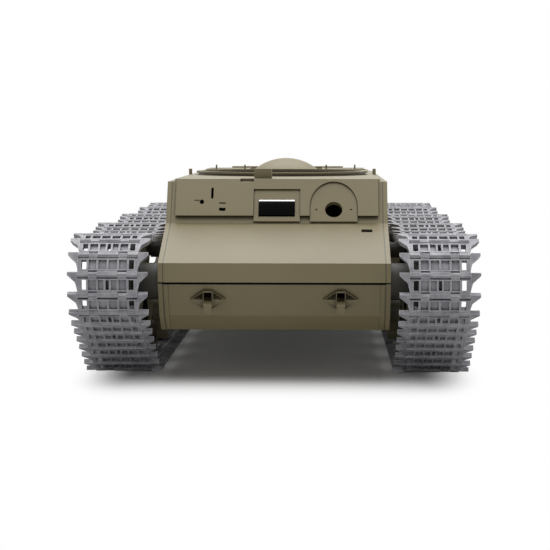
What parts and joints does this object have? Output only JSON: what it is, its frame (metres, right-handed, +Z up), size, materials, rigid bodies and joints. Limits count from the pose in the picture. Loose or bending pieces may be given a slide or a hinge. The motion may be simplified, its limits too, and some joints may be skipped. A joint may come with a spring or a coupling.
{
  "type": "radio-controlled tank chassis",
  "caption": "Scale model tank hull on sprung road wheels and metal link tracks, driven by two motors, with an open turret ring and no turret.",
  "frame": {"origin": "on the ground, midway between the tracks' ends and sides", "axes": "+Z up, the tank faces -Y, +X is the tank's own left side"},
  "size_m": [0.2074, 0.4196, 0.1136],
  "materials": {
    "hull_plastic": "moulded olive plastic, matt",
    "tray_plastic": "black moulded plastic",
    "battery_wrap": "heat-shrink film",
    "circuit_board": "lacquered board",
    "black_plastic": "black plastic",
    "steel": "plain steel",
    "motor_can": "plated can",
    "track_metal": "cast grey metal, unpainted",
    "gearbox_plastic": "dark moulded plastic",
    "brass": "machined brass",
    "gear_plastic": "natural nylon",
    "painted_metal": "olive paint, matt"
  },
  "bodies": {
    "chassis": {"hull_tub": "hull_plastic", "upper_hull": "hull_plastic", "visor_frame": "hull_plastic", "ball_mount": "hull_plastic", "tow_eyes": "hull_plastic", "deck_covers": "hull_plastic", "equipment_tray": "tray_plastic", "battery_pack": "battery_wrap", "control_board": "circuit_board", "hull_screws": "steel", "track_left": "track_metal", "track_right": "track_metal", "track_pins": "steel", "torsion_bars": "steel", "fixed_axles": "steel", "gearbox_left": "gearbox_plastic", "gearbox_right": "gearbox_plastic", "drive_motors": "motor_can"},
    "hatch": {"engine_hatch": "hull_plastic"},
    "switch_slider": {"power_switch": "black_plastic"},
    "drive_left": {"drive_sprocket_left": "painted_metal", "drive_shaft_left": "steel"},
    "reduction_left": {"reduction_gear_left": "gear_plastic"},
    "pinion_left": {"motor_pinion_left": "brass"},
    "idler_left": {"idler_wheel_left": "painted_metal"},
    "roller_left_1": {"return_roller_left_1": "painted_metal"},
    "roller_left_2": {"return_roller_left_2": "painted_metal"},
    "roller_left_3": {"return_roller_left_3": "painted_metal"},
    "arm_left_1": {"swing_arm_left_1": "painted_metal"},
    "wheel_left_1": {"road_wheel_left_1": "painted_metal"},
    "arm_left_2": {"swing_arm_left_2": "painted_metal"},
    "wheel_left_2": {"road_wheel_left_2": "painted_metal"},
    "arm_left_3": {"swing_arm_left_3": "painted_metal"},
    "wheel_left_3": {"road_wheel_left_3": "painted_metal"},
    "arm_left_4": {"swing_arm_left_4": "painted_metal"},
    "wheel_left_4": {"road_wheel_left_4": "painted_metal"},
    "arm_left_5": {"swing_arm_left_5": "painted_metal"},
    "wheel_left_5": {"road_wheel_left_5": "painted_metal"},
    "arm_left_6": {"swing_arm_left_6": "painted_metal"},
    "wheel_left_6": {"road_wheel_left_6": "painted_metal"},
    "drive_right": {"drive_sprocket_right": "painted_metal", "drive_shaft_right": "steel"},
    "reduction_right": {"reduction_gear_right": "gear_plastic"},
    "pinion_right": {"motor_pinion_right": "brass"},
    "idler_right": {"idler_wheel_right": "painted_metal"},
    "roller_right_1": {"return_roller_right_1": "painted_metal"},
    "roller_right_2": {"return_roller_right_2": "painted_metal"},
    "roller_right_3": {"return_roller_right_3": "painted_metal"},
    "arm_right_1": {"swing_arm_right_1": "painted_metal"},
    "wheel_right_1": {"road_wheel_right_1": "painted_metal"},
    "arm_right_2": {"swing_arm_right_2": "painted_metal"},
    "wheel_right_2": {"road_wheel_right_2": "painted_metal"},
    "arm_right_3": {"swing_arm_right_3": "painted_metal"},
    "wheel_right_3": {"road_wheel_right_3": "painted_metal"},
    "arm_right_4": {"swing_arm_right_4": "painted_metal"},
    "wheel_right_4": {"road_wheel_right_4": "painted_metal"},
    "arm_right_5": {"swing_arm_right_5": "painted_metal"},
    "wheel_right_5": {"road_wheel_right_5": "painted_metal"},
    "arm_right_6": {"swing_arm_right_6": "painted_metal"},
    "wheel_right_6": {"road_wheel_right_6": "painted_metal"}
  },
  "joints": [
    {"name": "drive_left_spin", "type": "hinge", "parent": "chassis", "child": "drive_left", "pos_m": [0.08345, 0.18295, 0.0509], "axis": [1, 0, 0], "continuous": true, "deforming": ["track_left", "track_pins"]},
    {"name": "reduction_left_spin", "type": "hinge", "parent": "chassis", "child": "reduction_left", "pos_m": [0.0348, 0.17091, 0.05933], "axis": [1, 0, 0], "continuous": true},
    {"name": "pinion_left_spin", "type": "hinge", "parent": "chassis", "child": "pinion_left", "pos_m": [0.0348, 0.15691, 0.05933], "axis": [1, 0, 0], "continuous": true},
    {"name": "idler_left_spin", "type": "hinge", "parent": "chassis", "child": "idler_left", "pos_m": [0.08345, -0.18448, 0.0535], "axis": [1, 0, 0], "continuous": true},
    {"name": "roller_left_1_spin", "type": "hinge", "parent": "chassis", "child": "roller_left_1", "pos_m": [0.08345, -0.093, 0.0635], "axis": [1, 0, 0], "continuous": true},
    {"name": "roller_left_2_spin", "type": "hinge", "parent": "chassis", "child": "roller_left_2", "pos_m": [0.08345, 0.012, 0.06338], "axis": [1, 0, 0], "continuous": true},
    {"name": "roller_left_3_spin", "type": "hinge", "parent": "chassis", "child": "roller_left_3", "pos_m": [0.08345, 0.117, 0.06344], "axis": [1, 0, 0], "continuous": true},
    {"name": "arm_left_1_swing", "type": "hinge", "parent": "chassis", "child": "arm_left_1", "pos_m": [0.05935, -0.15296, 0.0368], "axis": [1, 0, 0], "range_deg": [0, 12]},
    {"name": "wheel_left_1_spin", "type": "hinge", "parent": "arm_left_1", "child": "wheel_left_1", "pos_m": [0.08345, -0.13687, 0.0233], "axis": [1, 0, 0], "continuous": true},
    {"name": "arm_left_2_swing", "type": "hinge", "parent": "chassis", "child": "arm_left_2", "pos_m": [0.05935, -0.09821, 0.0362], "axis": [1, 0, 0], "range_deg": [0, 12]},
    {"name": "wheel_left_2_spin", "type": "hinge", "parent": "arm_left_2", "child": "wheel_left_2", "pos_m": [0.08345, -0.08213, 0.0227], "axis": [1, 0, 0], "continuous": true},
    {"name": "arm_left_3_swing", "type": "hinge", "parent": "chassis", "child": "arm_left_3", "pos_m": [0.05935, -0.04346, 0.0362], "axis": [1, 0, 0], "range_deg": [0, 12]},
    {"name": "wheel_left_3_spin", "type": "hinge", "parent": "arm_left_3", "child": "wheel_left_3", "pos_m": [0.08345, -0.02738, 0.0227], "axis": [1, 0, 0], "continuous": true},
    {"name": "arm_left_4_swing", "type": "hinge", "parent": "chassis", "child": "arm_left_4", "pos_m": [0.05935, 0.01129, 0.0362], "axis": [1, 0, 0], "range_deg": [0, 12]},
    {"name": "wheel_left_4_spin", "type": "hinge", "parent": "arm_left_4", "child": "wheel_left_4", "pos_m": [0.08345, 0.02738, 0.0227], "axis": [1, 0, 0], "continuous": true},
    {"name": "arm_left_5_swing", "type": "hinge", "parent": "chassis", "child": "arm_left_5", "pos_m": [0.05935, 0.06604, 0.0362], "axis": [1, 0, 0], "range_deg": [0, 12]},
    {"name": "wheel_left_5_spin", "type": "hinge", "parent": "arm_left_5", "child": "wheel_left_5", "pos_m": [0.08345, 0.08213, 0.0227], "axis": [1, 0, 0], "continuous": true},
    {"name": "arm_left_6_swing", "type": "hinge", "parent": "chassis", "child": "arm_left_6", "pos_m": [0.05935, 0.12079, 0.0368], "axis": [1, 0, 0], "range_deg": [0, 12]},
    {"name": "wheel_left_6_spin", "type": "hinge", "parent": "arm_left_6", "child": "wheel_left_6", "pos_m": [0.08345, 0.13687, 0.0233], "axis": [1, 0, 0], "continuous": true},
    {"name": "drive_right_spin", "type": "hinge", "parent": "chassis", "child": "drive_right", "pos_m": [-0.08345, 0.18295, 0.0509], "axis": [1, 0, 0], "continuous": true, "deforming": ["track_right", "track_pins"]},
    {"name": "reduction_right_spin", "type": "hinge", "parent": "chassis", "child": "reduction_right", "pos_m": [-0.0348, 0.17091, 0.05933], "axis": [1, 0, 0], "continuous": true},
    {"name": "pinion_right_spin", "type": "hinge", "parent": "chassis", "child": "pinion_right", "pos_m": [-0.0348, 0.15691, 0.05933], "axis": [1, 0, 0], "continuous": true},
    {"name": "idler_right_spin", "type": "hinge", "parent": "chassis", "child": "idler_right", "pos_m": [-0.08345, -0.18448, 0.0535], "axis": [1, 0, 0], "continuous": true},
    {"name": "roller_right_1_spin", "type": "hinge", "parent": "chassis", "child": "roller_right_1", "pos_m": [-0.08345, -0.093, 0.0635], "axis": [1, 0, 0], "continuous": true},
    {"name": "roller_right_2_spin", "type": "hinge", "parent": "chassis", "child": "roller_right_2", "pos_m": [-0.08345, 0.012, 0.06338], "axis": [1, 0, 0], "continuous": true},
    {"name": "roller_right_3_spin", "type": "hinge", "parent": "chassis", "child": "roller_right_3", "pos_m": [-0.08345, 0.117, 0.06344], "axis": [1, 0, 0], "continuous": true},
    {"name": "arm_right_1_swing", "type": "hinge", "parent": "chassis", "child": "arm_right_1", "pos_m": [-0.05935, -0.15296, 0.0368], "axis": [1, 0, 0], "range_deg": [0, 12]},
    {"name": "wheel_right_1_spin", "type": "hinge", "parent": "arm_right_1", "child": "wheel_right_1", "pos_m": [-0.08345, -0.13687, 0.0233], "axis": [1, 0, 0], "continuous": true},
    {"name": "arm_right_2_swing", "type": "hinge", "parent": "chassis", "child": "arm_right_2", "pos_m": [-0.05935, -0.09821, 0.0362], "axis": [1, 0, 0], "range_deg": [0, 12]},
    {"name": "wheel_right_2_spin", "type": "hinge", "parent": "arm_right_2", "child": "wheel_right_2", "pos_m": [-0.08345, -0.08213, 0.0227], "axis": [1, 0, 0], "continuous": true},
    {"name": "arm_right_3_swing", "type": "hinge", "parent": "chassis", "child": "arm_right_3", "pos_m": [-0.05935, -0.04346, 0.0362], "axis": [1, 0, 0], "range_deg": [0, 12]},
    {"name": "wheel_right_3_spin", "type": "hinge", "parent": "arm_right_3", "child": "wheel_right_3", "pos_m": [-0.08345, -0.02738, 0.0227], "axis": [1, 0, 0], "continuous": true},
    {"name": "arm_right_4_swing", "type": "hinge", "parent": "chassis", "child": "arm_right_4", "pos_m": [-0.05935, 0.01129, 0.0362], "axis": [1, 0, 0], "range_deg": [0, 12]},
    {"name": "wheel_right_4_spin", "type": "hinge", "parent": "arm_right_4", "child": "wheel_right_4", "pos_m": [-0.08345, 0.02738, 0.0227], "axis": [1, 0, 0], "continuous": true},
    {"name": "arm_right_5_swing", "type": "hinge", "parent": "chassis", "child": "arm_right_5", "pos_m": [-0.05935, 0.06604, 0.0362], "axis": [1, 0, 0], "range_deg": [0, 12]},
    {"name": "wheel_right_5_spin", "type": "hinge", "parent": "arm_right_5", "child": "wheel_right_5", "pos_m": [-0.08345, 0.08213, 0.0227], "axis": [1, 0, 0], "continuous": true},
    {"name": "arm_right_6_swing", "type": "hinge", "parent": "chassis", "child": "arm_right_6", "pos_m": [-0.05935, 0.12079, 0.0368], "axis": [1, 0, 0], "range_deg": [0, 12]},
    {"name": "wheel_right_6_spin", "type": "hinge", "parent": "arm_right_6", "child": "wheel_right_6", "pos_m": [-0.08345, 0.13687, 0.0233], "axis": [1, 0, 0], "continuous": true},
    {"name": "hatch_hinge", "type": "hinge", "parent": "chassis", "child": "hatch", "pos_m": [0, 0.092, 0.1072], "axis": [-1, 0, 0], "range_deg": [0, 100]},
    {"name": "switch_slide", "type": "slide", "parent": "chassis", "child": "switch_slider", "axis": [1, 0, 0], "range_m": [0, 0.0025]}
  ],
  "couplings": [
    {"joint": "reduction_left_spin", "follows": "drive_left_spin", "ratio": -2.5},
    {"joint": "pinion_left_spin", "follows": "drive_left_spin", "ratio": 7.5},
    {"joint": "idler_left_spin", "follows": "drive_left_spin", "ratio": 1.1508},
    {"joint": "roller_left_1_spin", "follows": "drive_left_spin", "ratio": 2.315},
    {"joint": "roller_left_2_spin", "follows": "drive_left_spin", "ratio": 2.315},
    {"joint": "roller_left_3_spin", "follows": "drive_left_spin", "ratio": 2.315},
    {"joint": "wheel_left_1_spin", "follows": "drive_left_spin", "ratio": 1.3581},
    {"joint": "wheel_left_2_spin", "follows": "drive_left_spin", "ratio": 1.3581},
    {"joint": "wheel_left_3_spin", "follows": "drive_left_spin", "ratio": 1.3581},
    {"joint": "wheel_left_4_spin", "follows": "drive_left_spin", "ratio": 1.3581},
    {"joint": "wheel_left_5_spin", "follows": "drive_left_spin", "ratio": 1.3581},
    {"joint": "wheel_left_6_spin", "follows": "drive_left_spin", "ratio": 1.3581},
    {"joint": "reduction_right_spin", "follows": "drive_right_spin", "ratio": -2.5},
    {"joint": "pinion_right_spin", "follows": "drive_right_spin", "ratio": 7.5},
    {"joint": "idler_right_spin", "follows": "drive_right_spin", "ratio": 1.1508},
    {"joint": "roller_right_1_spin", "follows": "drive_right_spin", "ratio": 2.315},
    {"joint": "roller_right_2_spin", "follows": "drive_right_spin", "ratio": 2.315},
    {"joint": "roller_right_3_spin", "follows": "drive_right_spin", "ratio": 2.315},
    {"joint": "wheel_right_1_spin", "follows": "drive_right_spin", "ratio": 1.3581},
    {"joint": "wheel_right_2_spin", "follows": "drive_right_spin", "ratio": 1.3581},
    {"joint": "wheel_right_3_spin", "follows": "drive_right_spin", "ratio": 1.3581},
    {"joint": "wheel_right_4_spin", "follows": "drive_right_spin", "ratio": 1.3581},
    {"joint": "wheel_right_5_spin", "follows": "drive_right_spin", "ratio": 1.3581},
    {"joint": "wheel_right_6_spin", "follows": "drive_right_spin", "ratio": 1.3581}
  ]
}
